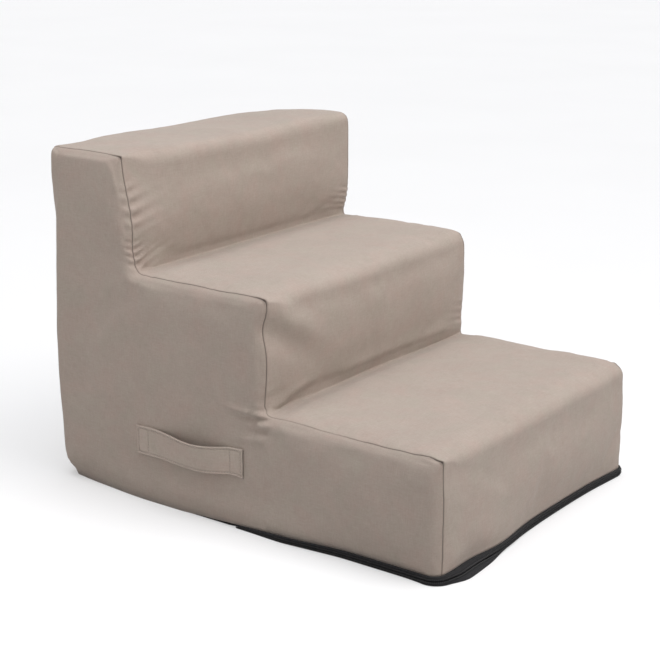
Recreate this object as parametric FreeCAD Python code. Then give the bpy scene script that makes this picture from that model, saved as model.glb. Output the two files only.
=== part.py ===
"""Three-step foam pet stairs: glued foam slabs in a zip-off fabric cover, with a strap handle.

Millimetres. +Z is up, the lowest step faces -Y, the pet climbs towards +Y, and the handle is on
the -X side. The origin is on the floor, below the middle of the whole object's box.
"""

import FreeCAD
import Part

import math
import os

from FreeCAD import Vector

# ---- Driving dimensions -------------------------------------------------------------------
WIDTH = 415.0                      # over the cover's two side panels
RISES = (137.0, 131.5, 131.5)      # height gained at each step, lowest first
TREADS = (231.0, 188.0, 120.0)     # depth of each step, lowest first
FRONT_Y = -261.0                   # the lowest riser's face

FABRIC = 1.5                       # cover cloth with its seam allowances
COVER_EASE = 0.2                   # room between the cover and the foam
NOSE_RADIUS = 16.0                 # rounding of each step's front edge
SIDE_RADIUS = 13.0                 # rounding from a tread or riser to a side
SEAM_INSET = 9.0                   # seams lie this far in from the sides

BASE_THICKNESS = 1.5
BASE_REAR_RADIUS = 12.0
HEM_HEIGHT = 9.0                   # cover hem above the floor where the zip shows
# (depth from the front, hem height) where the hem comes down over the base panel on each side
LEFT_HEM = ((105.0, HEM_HEIGHT), (250.0, 1.5), (318.0, 0.3))
RIGHT_HEM = ((321.0, HEM_HEIGHT), (330.0, 1.5), (342.0, 0.3))

# ---- Zip: depths are measured back from the front -------------------------------------------
ZIP_STAND_OFF = 2.1                # middle of the tape, out from the cover's face
RIGHT_ZIP_DEPTH = 318.0            # where the zip's right end is
LEFT_ZIP_DEPTH = 232.0             # and its left end, under the sloping hem
LEFT_CHAIN_DEPTH = 205.0           # where the left end's coils stop
FLARE = 16.0                       # how far the zip's lower edge stands out near the left corner
FLARE_AT_X = -168.0
FLARE_SPREAD = (34.0, 105.0)       # towards the corner, and along the front
TAPE_THICKNESS = 0.6
TAPE_FOOT_HEIGHT = 0.2             # underside of the lower tape's turned-in edge
COIL_WIDTH = 2.0
COIL_THICKNESS = 1.6
COIL_SLIT = 1.0                    # between the two coils, where the slider's wedge runs
STOP_LENGTH = 2.2

# ---- Slider and pull ----------------------------------------------------------------------
SLIDER_LENGTH = 9.0
SLIDER_PLATE = 1.2
SLIDER_CLEARANCE = 0.4
SLIDER_LOW, SLIDER_HIGH = 1.1, 8.1
SLIDER_CORNER = 0.9
FLANGE_HEIGHT = 0.7
WEDGE_THICKNESS = 0.4
WEDGE_LENGTH = 2.4
WEDGE_SETBACK = 0.6                # from the slider's rear end
CROWN_SPAN = 6.4
CROWN_WIDTH = 1.6
CROWN_WALL = 1.0
CROWN_CORNER = 1.2
EYE_HEIGHT = 1.7
PULL_LENGTH = 26.0
PULL_WIDTH = 5.6
PULL_THICKNESS = 1.0
PULL_END_RADIUS = 2.6
PULL_BAR_RADIUS = 0.6
PULL_WINDOW_PLAY = 0.3             # on each side of the crown
PULL_WINDOW_PAST = 1.6             # how far the window reaches past the crown
PULL_HOLE_RADIUS = 1.5
PULL_HOLE_FROM_END = 5.0

# ---- Handle -------------------------------------------------------------------------------
HANDLE_LENGTH = 157.0
HANDLE_WIDTH = 36.5
HANDLE_THICKNESS = 3.0
HANDLE_REAR_DEPTH = 415.0          # its rear end, from the front of the stairs
HANDLE_MIDDLE_Z = 74.0
HANDLE_SLOPE = math.radians(2.2)   # the front end sits higher
HANDLE_SEWN = 17.0                 # length sewn flat at each end
HANDLE_BOW_TOP = 12.5              # how far the free middle's top edge stands off the side
HANDLE_BOW_BOTTOM = 6.0
HANDLE_SAG = 2.5
STITCH_INSET = 3.0
STITCH_THREAD = 0.6

# ---- Derived sizes ------------------------------------------------------------------------
HEIGHT = sum(RISES)
DEPTH = sum(TREADS)
BACK_Y = FRONT_Y + DEPTH
HALF = WIDTH / 2
FOAM_INSET = FABRIC + COVER_EASE
ZIP_MIDDLE = (HEM_HEIGHT + TAPE_FOOT_HEIGHT) / 2
BAND_INSET = ZIP_STAND_OFF + FABRIC    # the base panel's edge, in from the zip's lower edge
SLIDER_Y = FRONT_Y + RIGHT_ZIP_DEPTH - 12.0
CHAIN_END_Y = SLIDER_Y + SLIDER_LENGTH / 2 + 1.0


def box(low, high):
    """A box from its lowest corner to its highest."""
    size = Vector(*high) - Vector(*low)
    return Part.makeBox(size.x, size.y, size.z, Vector(*low))


def prism(points, direction):
    """A solid made by pushing a closed outline along direction."""
    return Part.Face(Part.makePolygon([*points, points[0]])).extrude(direction)


def save(name, *solids):
    """Writes one named piece; several solids in it are a group of like pieces."""
    shape = solids[0] if len(solids) == 1 else Part.makeCompound(list(solids))
    if not shape.isValid():
        raise ValueError(f"{name} is not a valid shape")
    shape.exportStep(f"parts/{name}.step")
    print(f"{name}: {len(shape.Solids)} solid(s), {shape.Volume / 1000:.2f} cm3")


# ---- Foam and cover -----------------------------------------------------------------------
def stairs(inset):
    """The whole staircase as one rounded solid, with its outer faces moved inward by inset."""
    outline = [(FRONT_Y + inset, 0.0)]
    noses = []
    y, z = FRONT_Y, 0.0
    for rise, tread in zip(RISES, TREADS):
        z += rise
        noses.append((y + inset, z - inset))
        y += tread
        outline += [noses[-1], (y + inset, z - inset)]
    outline[-1] = (BACK_Y - inset, HEIGHT - inset)
    noses.append(outline[-1])
    outline.append((BACK_Y - inset, 0.0))
    half = HALF - inset
    solid = prism([Vector(-half, *p) for p in outline], Vector(2 * half, 0, 0))

    def is_nose(edge):
        middle = edge.CenterOfMass
        return abs(middle.x) < 1 and any(
            math.hypot(middle.y - ny, middle.z - nz) < 0.1 for ny, nz in noses
        )

    def is_side(edge):
        box_ = edge.BoundBox
        return box_.XLength < 0.01 and box_.ZMax > 1

    solid = solid.makeFillet(NOSE_RADIUS - inset, [e for e in solid.Edges if is_nose(e)])
    return solid.makeFillet(SIDE_RADIUS - inset, [e for e in solid.Edges if is_side(e)])


def foam_slabs():
    """One slab per step, each lying on the one below."""
    core = stairs(FOAM_INSET)
    names = ("foam_lower_slab", "foam_middle_slab", "foam_upper_slab")
    low = BASE_THICKNESS
    top = 0.0
    for name, rise in zip(names, RISES):
        top += rise
        high = top - FOAM_INSET
        layer = box((-HALF, FRONT_Y, low), (HALF, BACK_Y, high))
        save(name, core.common(layer))
        low = high


def hem_height(depth, drops):
    """Height of the cover's hem at a depth from the front, on the side with these drops."""
    if depth <= drops[0][0]:
        return drops[0][1]
    for (near, high), (far, low) in zip(drops, drops[1:]):
        if depth <= far:
            return high + (low - high) * (depth - near) / (far - near)
    return drops[-1][1]


def hem_cutter(side):
    """What lies below the cover's hem, on one side of the middle."""
    drops = LEFT_HEM if side < 0 else RIGHT_HEM
    margin = 10.0
    outline = [
        (FRONT_Y - margin, -margin),
        (FRONT_Y - margin, drops[0][1]),
        *((FRONT_Y + depth, height) for depth, height in drops),
        (BACK_Y + margin, drops[-1][1]),
        (BACK_Y + margin, -margin),
    ]
    return prism([Vector(0, *p) for p in outline], Vector(side * WIDTH, 0, 0))


def cover():
    """The cover's two side panels and the strip that runs over the steps and down the back."""
    shell = stairs(0).cut(stairs(FABRIC)).cut(hem_cutter(-1)).cut(hem_cutter(1))
    seam = HALF - SEAM_INSET
    reach = HEIGHT + WIDTH
    pieces = {
        "cover_left_panel": (-reach, -seam),
        "cover_center_strip": (-seam, seam),
        "cover_right_panel": (seam, reach),
    }
    for name, (low, high) in pieces.items():
        save(name, shell.common(box((low, -reach, -1), (high, reach, reach))))


# ---- Zip ----------------------------------------------------------------------------------
def route_points(left_depth, right_depth):
    """(point on the cover's face, angle of its outward normal) from the zip's left end, round
    both front corners, to its right end."""
    radius = SIDE_RADIUS
    corner_steps, front_steps, step = 8, 30, 12.0
    points = [(Vector(-HALF, FRONT_Y + left_depth, 0), 180.0)]
    straight = LEFT_HEM[0][0]
    while straight > radius + step / 2:
        points.append((Vector(-HALF, FRONT_Y + straight, 0), 180.0))
        straight -= step
    left_x, right_x = -HALF + radius, HALF - radius
    for centre_x, start in ((left_x, 180.0), (right_x, 270.0)):
        for k in range(corner_steps + 1):
            angle = start + 90.0 * k / corner_steps
            a = math.radians(angle)
            point = Vector(centre_x, FRONT_Y + radius, 0)
            points.append((point + Vector(math.cos(a), math.sin(a), 0) * radius, angle))
        if centre_x < 0:
            gap = (right_x - left_x) / front_steps
            front = (Vector(left_x + gap * k, FRONT_Y, 0) for k in range(1, front_steps))
            points += [(point, 270.0) for point in front]
    return [*points, (Vector(HALF, FRONT_Y + right_depth, 0), 360.0)]


def route(left_depth, right_depth):
    """Stations along the zip: (point on the cover's face, outward normal, hem height, flare)."""
    peak = Vector(FLARE_AT_X, FRONT_Y, 0)
    corner = Vector(-HALF + SIDE_RADIUS, FRONT_Y, 0)
    corner_length = math.pi / 2 * SIDE_RADIUS
    stations = []
    for point, angle in route_points(left_depth, right_depth):
        a = math.radians(angle)
        if angle == 180.0:
            run = -(corner.distanceToPoint(peak) + corner_length)
            run -= point.y - FRONT_Y - SIDE_RADIUS
        elif angle < 270.0:
            run = -(corner.distanceToPoint(peak) + corner_length * (270.0 - angle) / 90.0)
        else:
            run = point.x - peak.x
        spread = FLARE_SPREAD[0] if run < 0 else FLARE_SPREAD[1]
        flare = FLARE * math.exp(-((run / spread) ** 2)) if angle < 300.0 else 0.0
        hem = hem_height(point.y - FRONT_Y, LEFT_HEM if point.x < 0 else RIGHT_HEM)
        normal = Vector(math.cos(a), math.sin(a), 0)
        stations.append((point, normal, hem, flare if flare > 0.02 else 0.0))
    return stations


def band_axes(hem, flare):
    """The chain's section at a station, as (out, up) pairs: its middle, its up and out
    directions, and the middles of the tapes where they turn in. And its scale."""
    half = TAPE_THICKNESS / 2
    bottom = (ZIP_STAND_OFF + flare, TAPE_FOOT_HEIGHT + half)
    top = (ZIP_STAND_OFF, hem - half)
    length = math.dist(top, bottom)
    up = ((top[0] - bottom[0]) / length, (top[1] - bottom[1]) / length)
    out = (up[1], -up[0])
    middle = ((top[0] + bottom[0]) / 2, (top[1] + bottom[1]) / 2)
    return middle, up, out, top, bottom, hem / HEM_HEIGHT


def on_chain(axes, above, proud):
    """A point in the section, above the meeting line and proud of the tape's middle."""
    middle, up, out, _, _, scale = axes
    return tuple(middle[i] + scale * above * up[i] + proud * out[i] for i in range(2))


def chain_section(low, high):
    """Section of a coil or stop that spans these heights from the meeting line."""

    def section(hem, flare):
        axes = band_axes(hem, flare)
        inner = TAPE_THICKNESS / 2
        outer = inner + COIL_THICKNESS * axes[-1]
        corners = ((low, inner), (low, outer), (high, outer), (high, inner))
        return [on_chain(axes, *corner) for corner in corners]

    return section


def at_level(point, direction, level):
    """Where the line through a point of the section reaches this height."""
    share = (level - point[1]) / direction[1]
    return point[0] + share * direction[0], level


def tape_section(side):
    """Section of the upper (1) or lower (-1) tape: it runs from the chain's slit to its own
    edge, and turns in there, under the cover's hem or to the base panel."""

    def section(hem, flare):
        axes = band_axes(hem, flare)
        _, up, out, top, bottom, _ = axes
        half = TAPE_THICKNESS / 2
        turn = top if side > 0 else bottom
        front = (turn[0] + half * out[0], turn[1] + half * out[1])
        back = (turn[0] - half * out[0], turn[1] - half * out[1])
        inner_end = -FABRIC if side > 0 else turn[0] - BAND_INSET
        far_level, near_level = turn[1] + side * half, turn[1] - side * half
        return [
            on_chain(axes, side * COIL_SLIT / 2, half),
            at_level(front, up, far_level),
            (inner_end, far_level),
            (inner_end, near_level),
            at_level(back, up, near_level),
            on_chain(axes, side * COIL_SLIT / 2, -half),
        ]

    return section


def ribbon(stations, section):
    """A solid band through the section drawn at each station."""
    wires = []
    for point, normal, hem, flare in stations:
        corners = [point + normal * r + Vector(0, 0, z) for r, z in section(hem, flare)]
        wires.append(Part.makePolygon([*corners, corners[0]]))
    return Part.makeLoft(wires, True, True)


def base_panel(stations):
    """The non-slip sheet underneath, out to the zip's lower edge."""
    edge = [point + normal * (flare - FABRIC) for point, normal, _, flare in stations]
    rear_x, rear_y = HALF - FABRIC, BACK_Y - FABRIC
    corners = [Vector(rear_x, rear_y, 0), Vector(-rear_x, rear_y, 0)]
    sheet = prism([*edge, *corners], Vector(0, 0, BASE_THICKNESS))
    upright = [e for e in sheet.Edges if e.BoundBox.ZLength > BASE_THICKNESS / 2]
    rear = [e for e in upright if e.CenterOfMass.y > rear_y - 1]
    save("base_panel", sheet.makeFillet(BASE_REAR_RADIUS, rear))


def zip_parts():
    """Tapes, coils and the stops at both ends of the chain."""
    tapes = route(LEFT_ZIP_DEPTH, RIGHT_ZIP_DEPTH)
    base_panel(tapes)
    save("zip_upper_tape", ribbon(tapes, tape_section(1)))
    save("zip_lower_tape", ribbon(tapes, tape_section(-1)))

    chain = route(LEFT_CHAIN_DEPTH, CHAIN_END_Y - FRONT_Y)
    near, far = COIL_SLIT / 2, COIL_SLIT / 2 + COIL_WIDTH
    save("zip_upper_coil", ribbon(chain, chain_section(near, far)))
    save("zip_lower_coil", ribbon(chain, chain_section(-far, -near)))
    bottom = route(LEFT_CHAIN_DEPTH + STOP_LENGTH, CHAIN_END_Y - FRONT_Y)[0]
    save("zip_bottom_stop", ribbon([bottom, chain[0]], chain_section(-far, far)))

    tops = []
    right_end = route(LEFT_CHAIN_DEPTH, CHAIN_END_Y - FRONT_Y + STOP_LENGTH)[-1]
    for low, high in ((near, far), (-far, -near)):
        tops.append(ribbon([chain[-1], right_end], chain_section(low, high)))
    save("zip_top_stops", *tops)


# ---- Slider -------------------------------------------------------------------------------
def slider():
    """The slider's body on the right-hand zip: two plates, joined by the wedge in the slit and
    turned in by flanges at their edges. Returns where its outer face is."""
    plane = HALF + ZIP_STAND_OFF
    front, rear = SLIDER_Y - SLIDER_LENGTH / 2, SLIDER_Y + SLIDER_LENGTH / 2
    tape_face = plane + TAPE_THICKNESS / 2
    channel_in = plane - TAPE_THICKNESS / 2 - SLIDER_CLEARANCE
    channel_out = tape_face + COIL_THICKNESS + SLIDER_CLEARANCE
    face = channel_out + SLIDER_PLATE
    wedge_rear = rear - WEDGE_SETBACK
    wedge_low = ZIP_MIDDLE - WEDGE_THICKNESS / 2
    body = box((channel_in - SLIDER_PLATE, front, SLIDER_LOW), (channel_in, rear, SLIDER_HIGH))
    others = [
        box((channel_out, front, SLIDER_LOW), (face, rear, SLIDER_HIGH)),
        box(
            (channel_in, wedge_rear - WEDGE_LENGTH, wedge_low),
            (channel_out, wedge_rear, wedge_low + WEDGE_THICKNESS),
        ),
    ]
    for low in (SLIDER_LOW, SLIDER_HIGH - FLANGE_HEIGHT):
        flange_low = (tape_face + SLIDER_CLEARANCE, front, low)
        others.append(box(flange_low, (channel_out, rear, low + FLANGE_HEIGHT)))
    body = body.multiFuse(others).removeSplitter()

    def is_corner(edge):
        ends = edge.BoundBox
        along_x = ends.YLength < 0.01 and ends.ZLength < 0.01
        at_end = min(abs(ends.YMin - front), abs(ends.YMin - rear)) < 0.01
        at_rim = min(abs(ends.ZMin - SLIDER_LOW), abs(ends.ZMin - SLIDER_HIGH)) < 0.01
        return along_x and at_end and at_rim

    save("zip_slider_body", body.makeFillet(SLIDER_CORNER, [e for e in body.Edges if is_corner(e)]))
    return face


def slider_crown(face):
    """The eye on the slider that the pull hangs in."""
    half_span, half_width = CROWN_SPAN / 2, CROWN_WIDTH / 2
    top = face + EYE_HEIGHT + CROWN_WALL
    crown = box(
        (face, SLIDER_Y - half_span, ZIP_MIDDLE - half_width),
        (top, SLIDER_Y + half_span, ZIP_MIDDLE + half_width),
    )
    outer = [e for e in crown.Edges if e.BoundBox.ZLength > 1 and e.BoundBox.XMin > top - 0.01]
    eye_half = half_span - CROWN_WALL
    eye = box(
        (face, SLIDER_Y - eye_half, ZIP_MIDDLE - half_width),
        (face + EYE_HEIGHT, SLIDER_Y + eye_half, ZIP_MIDDLE + half_width),
    )
    save("zip_slider_crown", crown.makeFillet(CROWN_CORNER, outer).cut(eye))


def pull_tab(face):
    """A flat metal pull: a bar through the crown's eye, two arms and a rounded tab."""
    axis_x = face + EYE_HEIGHT / 2
    end_y = SLIDER_Y + PULL_LENGTH
    back_x, front_x = axis_x - PULL_THICKNESS / 2, axis_x + PULL_THICKNESS / 2
    low_z, high_z = ZIP_MIDDLE - PULL_WIDTH / 2, ZIP_MIDDLE + PULL_WIDTH / 2
    tab = box((back_x, SLIDER_Y, low_z), (front_x, end_y, high_z))
    far = [e for e in tab.Edges if e.BoundBox.XLength > 0.5 and e.BoundBox.YMin > end_y - 0.01]
    tab = tab.makeFillet(PULL_END_RADIUS, far)
    window_half = CROWN_WIDTH / 2 + PULL_WINDOW_PLAY
    window = box(
        (back_x, SLIDER_Y - PULL_BAR_RADIUS, ZIP_MIDDLE - window_half),
        (front_x, SLIDER_Y + CROWN_SPAN / 2 + PULL_WINDOW_PAST, ZIP_MIDDLE + window_half),
    )
    hole_start = Vector(back_x, end_y - PULL_HOLE_FROM_END, ZIP_MIDDLE)
    hole = Part.makeCylinder(PULL_HOLE_RADIUS, PULL_THICKNESS, hole_start, Vector(1, 0, 0))
    bar = Part.makeCylinder(PULL_BAR_RADIUS, PULL_WIDTH, Vector(axis_x, SLIDER_Y, low_z))
    save("zip_pull_tab", tab.cut(window).cut(hole).fuse(bar).removeSplitter())


# ---- Handle -------------------------------------------------------------------------------
def handle_frame(along, across):
    """A point on the side's face, from distances along and across the handle's own middle."""
    middle_y = FRONT_Y + HANDLE_REAR_DEPTH - HANDLE_LENGTH / 2
    c, s = math.cos(HANDLE_SLOPE), math.sin(HANDLE_SLOPE)
    return middle_y + along * c + across * s, HANDLE_MIDDLE_Z - along * s + across * c


def handle_bow(along):
    """From 0 at the sewn ends to 1 in the middle."""
    free = HANDLE_LENGTH / 2 - HANDLE_SEWN
    share = max(0.0, 1 - abs(along) / free)
    return math.sin(math.pi / 2 * share) ** 1.3 if share else 0.0


def handle():
    """The strap, sewn flat at both ends, with its free middle standing off the side."""
    half_width = HANDLE_WIDTH / 2
    half_length = HANDLE_LENGTH / 2
    free = half_length - HANDLE_SEWN
    spans = 14
    places = [-half_length, *(-free + 2 * free * k / spans for k in range(spans + 1)), half_length]
    wires = []
    for along in places:
        bow = handle_bow(along)
        sag = HANDLE_SAG * bow
        y_low, z_low = handle_frame(along, -half_width - sag)
        y_high, z_high = handle_frame(along, half_width - sag)
        low, high = HANDLE_BOW_BOTTOM * bow, HANDLE_BOW_TOP * bow
        corners = [
            Vector(-HALF - low, y_low, z_low),
            Vector(-HALF - low - HANDLE_THICKNESS, y_low, z_low),
            Vector(-HALF - high - HANDLE_THICKNESS, y_high, z_high),
            Vector(-HALF - high, y_high, z_high),
        ]
        wires.append(Part.makePolygon([*corners, corners[0]]))
    save("handle_strap", Part.makeLoft(wires, True, True))
    handle_stitching(half_width, half_length)


def handle_stitching(half_width, half_length):
    """One sewn box of thread at each end of the strap."""
    seams = []
    for end in (-1, 1):
        far, near = end * (half_length - STITCH_INSET), end * (half_length - HANDLE_SEWN + 1)
        side = half_width - STITCH_INSET
        loops = []
        for grow in (STITCH_THREAD / 2, -STITCH_THREAD / 2):
            outward = grow * end
            spots = [(far + outward, side + grow), (near - outward, side + grow)]
            spots += [(near - outward, -side - grow), (far + outward, -side - grow)]
            face = -HALF - HANDLE_THICKNESS
            corners = [Vector(face, *handle_frame(*s)) for s in spots]
            loops.append(prism(corners, Vector(-STITCH_THREAD, 0, 0)))
        seams.append(loops[0].cut(loops[1]))
    save("handle_stitching", *seams)


os.makedirs("parts", exist_ok=True)
foam_slabs()
cover()
zip_parts()
slider_face = slider()
slider_crown(slider_face)
pull_tab(slider_face)
handle()
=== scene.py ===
"""Looks of the three-step foam pet stairs: fitted fabric cover, strap handle, zip and foam.

Geometry is worked out in millimetres from the frame and written to meshes in metres.
"""

import math

import bpy
import numpy as np
from mathutils import Matrix, Vector, geometry, noise
from mathutils.bvhtree import BVHTree


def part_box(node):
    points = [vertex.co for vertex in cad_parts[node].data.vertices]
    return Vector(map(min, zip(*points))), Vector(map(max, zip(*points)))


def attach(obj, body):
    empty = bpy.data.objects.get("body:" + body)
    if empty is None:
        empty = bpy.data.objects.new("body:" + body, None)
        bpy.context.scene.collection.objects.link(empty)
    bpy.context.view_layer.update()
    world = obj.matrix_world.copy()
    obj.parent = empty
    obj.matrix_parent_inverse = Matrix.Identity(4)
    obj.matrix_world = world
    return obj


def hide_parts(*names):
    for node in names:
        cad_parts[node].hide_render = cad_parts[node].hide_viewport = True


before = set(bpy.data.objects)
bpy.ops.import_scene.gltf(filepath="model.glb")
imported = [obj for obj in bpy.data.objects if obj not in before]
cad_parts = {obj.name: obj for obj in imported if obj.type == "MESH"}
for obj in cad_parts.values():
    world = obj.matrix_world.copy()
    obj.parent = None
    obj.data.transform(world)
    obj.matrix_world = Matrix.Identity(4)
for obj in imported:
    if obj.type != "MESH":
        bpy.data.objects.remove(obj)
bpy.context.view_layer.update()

# ---- Sizes from the frame, in millimetres ---------------------------------------------------
MM = 0.001


def node_box(node):
    low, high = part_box(node)
    return np.array(low) / MM, np.array(high) / MM


STRIP_LOW, STRIP_HIGH = node_box("cover_center_strip")
PANEL_LOW, _ = node_box("cover_left_panel")
FOAM = [node_box(f"foam_{name}_slab") for name in ("lower", "middle", "upper")]

HALF = -PANEL_LOW[0]
SEAM_X = STRIP_HIGH[0]
FRONT_Y, BACK_Y = STRIP_LOW[1], STRIP_HIGH[1]
FOAM_GAP = HALF - FOAM[0][1][0]
RISER_Y = (FRONT_Y, FOAM[1][0][1] - FOAM_GAP, FOAM[2][0][1] - FOAM_GAP)
TREAD_Z = (FOAM[0][1][2] + FOAM_GAP, FOAM[1][1][2] + FOAM_GAP, STRIP_HIGH[2])

# ---- Shape of the cover ---------------------------------------------------------------------
SIDE_RADIUS = 13.0                     # rounding from a tread or riser to a side
NOSE_SOFT, NOSE_ON_SIDE, CREASE_SOFT = 15.0, 17.0, 2.2
# Radii of the outline at the seams: the left one turns sharp corners, the right one soft ones.
NOSE_AT_SEAM = {-1: 4.0, 1: 12.5}
CREASE_AT_SEAM = {-1: 11.0, 1: 4.5}
REAR_HEM, FRONT_HEM = 0.3, 9.0
CLOTH = 1.1
# Height of the left and right sides' low edge: (depth from the front, height).
HEM = {
    -1: ((105.0, FRONT_HEM), (200.0, 7.4), (262.0, 4.4), (345.0, REAR_HEM)),
    1: ((321.0, FRONT_HEM), (330.0, 1.5), (342.0, REAR_HEM)),
}
LEFT_FLARE, RIGHT_FLARE = 7.0, 5.0

LEG_STEPS = (52, 26, 58, 44, 58, 50, 44)   # back, then tread and riser in turn, downwards
ARC_STEPS = 8


def smooth(value):
    """From 0 to 1 with level ends."""
    t = np.clip(value, 0, 1)
    return t * t * (3 - 2 * t)


def bell(value, low, high, shape=1.0):
    """0 at low and high, 1 between them."""
    t = np.clip((value - low) / (high - low), 0, 1)
    return np.sin(np.pi * t) ** shape


def near(value, centre, width):
    return np.exp(-(((value - centre) / width) ** 2))


def wobble(points, size, seed):
    """Smooth noise from about -1 to 1, with features of that size."""
    shift = Vector((seed * 17.3, seed * 5.1, seed * 9.7))
    return np.array([noise.noise(Vector(p) / size + shift) for p in points]) * 1.6


# ---- Outline of the steps -------------------------------------------------------------------
def outline(inset, convex, concave, front_hem=FRONT_HEM, rear_hem=REAR_HEM):
    """The steps' outline in (y, z), from the rear hem over the top to the front hem, moved in
    by inset and rounded by those radii. Returns its points, outward normals and length run."""
    (r1, r2, r3), (t1, t2, t3) = RISER_Y, TREAD_Z
    corners = [
        (BACK_Y - inset, rear_hem),
        (BACK_Y - inset, t3 - inset),
        (r3 + inset, t3 - inset),
        (r3 + inset, t2 - inset),
        (r2 + inset, t2 - inset),
        (r2 + inset, t1 - inset),
        (r1 + inset, t1 - inset),
        (r1 + inset, front_hem),
    ]
    corners = [np.array(c, float) for c in corners]
    hollow = (False, False, True, False, True, False)
    points, normals = [], []
    start = corners[0]
    for leg, steps in enumerate(LEG_STEPS):
        end = corners[leg + 1]
        ahead = (end - corners[leg]) / np.linalg.norm(end - corners[leg])
        outward = np.array((ahead[1], -ahead[0]))
        last_leg = leg == len(LEG_STEPS) - 1
        radius = 0.0 if last_leg else (concave if hollow[leg] else convex)
        stop = end - ahead * radius
        for k in range(steps + 1):
            points.append(start + (stop - start) * k / steps)
            normals.append(outward)
        if last_leg:
            break
        side = -1 if hollow[leg] else 1
        centre = stop - side * outward * radius
        for k in range(1, ARC_STEPS):
            a = math.pi / 2 * k / ARC_STEPS
            normal = math.cos(a) * outward + side * math.sin(a) * ahead
            points.append(centre + side * radius * normal)
            normals.append(normal)
        start = end - side * outward * radius
    points, normals = np.array(points), np.array(normals)
    steps = np.linalg.norm(np.diff(points, axis=0), axis=1)
    return points, normals, np.concatenate([[0.0], np.cumsum(steps)])


def hem_height(depth, sign):
    depths, heights = zip(*HEM[sign])
    return np.interp(depth, depths, heights)


def left_flare(depth):
    """How far the left side's low edge stands out from the foam, at this depth."""
    return LEFT_FLARE * smooth((depth - 110) / 90) * smooth((505 - depth) / 110)


def inside_depth(y, z):
    """How far a point of a side lies inside the steps' outline."""
    (r1, r2, r3), (t1, t2, t3) = RISER_Y, TREAD_Z
    lower = np.minimum.reduce([y - r1, t1 - z, BACK_Y - y])
    middle = np.minimum.reduce([y - r2, t2 - z, BACK_Y - y])
    upper = np.minimum.reduce([y - r3, t3 - z, BACK_Y - y])
    return np.maximum.reduce([lower, middle, upper])


# ---- How the cloth departs from the foam's plain shape --------------------------------------
# Crown of each tread: (low y, high y, height, (how far its left end, middle and right end rise)),
# lowest first.
def tread_crowns():
    highs = (RISER_Y[1] + 12, RISER_Y[2] + 12, BACK_Y + 30)
    rises = ((0.0, 3.2, 5.2), (0.3, 3.6, 5.2), (3.8, 7.0, 5.0))
    return list(zip(RISER_Y, highs, TREAD_Z, rises))


# Bulge of each riser: (y, low z, high z, (how far its ends stand out, and its middle more)).
def riser_bulges():
    lows = (0.0, *TREAD_Z[:2])
    return list(zip(RISER_Y, lows, TREAD_Z, ((3.4, 1.5), (2.6, 1.8), (3.6, 2.2))))


def fold(u, v, start, end, width, height, valley=0.5):
    """A ridge from start, where it is strongest, fading to end, with a valley under it."""
    run = np.subtract(end, start)
    length = np.hypot(*run)
    along = ((u - start[0]) * run[0] + (v - start[1]) * run[1]) / length**2
    off = ((v - start[1]) * run[0] - (u - start[0]) * run[1]) / length
    taper = smooth((along + 0.12) / 0.2) * smooth((1.0 - along) / 0.75)
    ridge = near(off, 0, width) - valley * near(off, -1.7 * width, width)
    return height * taper * ridge


def seam_puckers(u, v, seam_u, low, high, pitch, reach, height, slant=0.0, phase=0.0):
    """Short ripples across a seam that runs along v, strongest at the seam."""
    away = np.abs(u - seam_u)
    at = v - slant * away
    wave = np.sin(2 * np.pi * at / pitch + 1.9 * np.sin(at / (1.3 * pitch) + phase) + phase)
    uneven = 0.65 + 0.35 * np.sin(at / 17 + 2 * phase)
    beside = 0.10 + smooth(away / 6)
    return height * uneven * wave * beside * np.exp(-away / reach) * bell(v, low, high, 0.6)


def dome(x):
    """1 at the middle of the steps' width, 0 at the sides."""
    return 1 - np.abs(x / HALF) ** 3


def crowns_and_bulges(shift, points, low_fade):
    x, y, z = points.T
    for low, high, level, (at_left, middle, at_right) in tread_crowns():
        there = smooth((z - level + 30) / 26) * smooth((level + 22 - z) / 14) * (y > low - 20)
        ends = at_left + (at_right - at_left) * (x + HALF) / (2 * HALF)
        rise = ends + (middle - (at_left + at_right) / 2) * (1 - np.abs(x / HALF) ** 5)
        shift[:, 2] += there * rise * bell(y, low - 25, high, 0.5)
    for level, low, high, (ends, middle) in riser_bulges():
        there = smooth((level + 46 - y) / 40) * (y > level - 20) * (z > low) * smooth((z - low) / 62)
        there *= (z < high + 20)
        out = (ends + middle * dome(x)) * bell(z, low - 30, high + 70, 0.5)
        shift[:, 1] -= there * out * low_fade


def rear_and_sides(shift, points, low_fade):
    """Behind, the cover is slack and its edges stand out. The sides swell a little between their
    edges, and their low edge stands out."""
    x, y, z = points.T
    sign = np.sign(x)
    behind = smooth((y - BACK_Y + 55) / 45)
    slack_back = 3.2 + 9.0 * near(z, 175, 130) - 1.5 * np.abs(x / HALF) ** 2
    shift[:, 1] += behind * slack_back * low_fade * smooth((TREAD_Z[2] + 60 - z) / 100)
    shift[:, 0] += sign * behind * 3.2 * smooth((np.abs(x) - HALF + 50) / 40) * low_fade
    depth = inside_depth(y, z)
    swell = (2.2 + 1.6 * smooth(depth / 80)) * smooth(z / 60)
    skirt = 3.4 * near(z, 14, 24) * smooth((y - FRONT_Y - 60) / 120)
    edge = smooth((np.abs(x) - HALF + 30) / 26)
    shift[:, 0] += sign * edge * (swell * (1 - 0.5 * behind) + skirt * low_fade)


def slack_everywhere(shift, points, normals, low_fade):
    """Slack in the cloth, along its own normal, and a wavy edge at each nose."""
    x, y, z = points.T
    slack = 0.6 * wobble(points, 120, 1) + 0.35 * wobble(points, 42, 2)
    slack += 0.14 * wobble(points, 15, 3)
    slack += slack_at(points)
    slack *= low_fade
    shift += normals * slack[:, None]
    noses = [near(z, level, 16) * near(y, nose, 20) for nose, level in zip(RISER_Y, TREAD_Z)]
    shift[:, 2] += sum(noses) * 0.9 * np.sin(x / 31 + y / 40) * dome(x)


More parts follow.
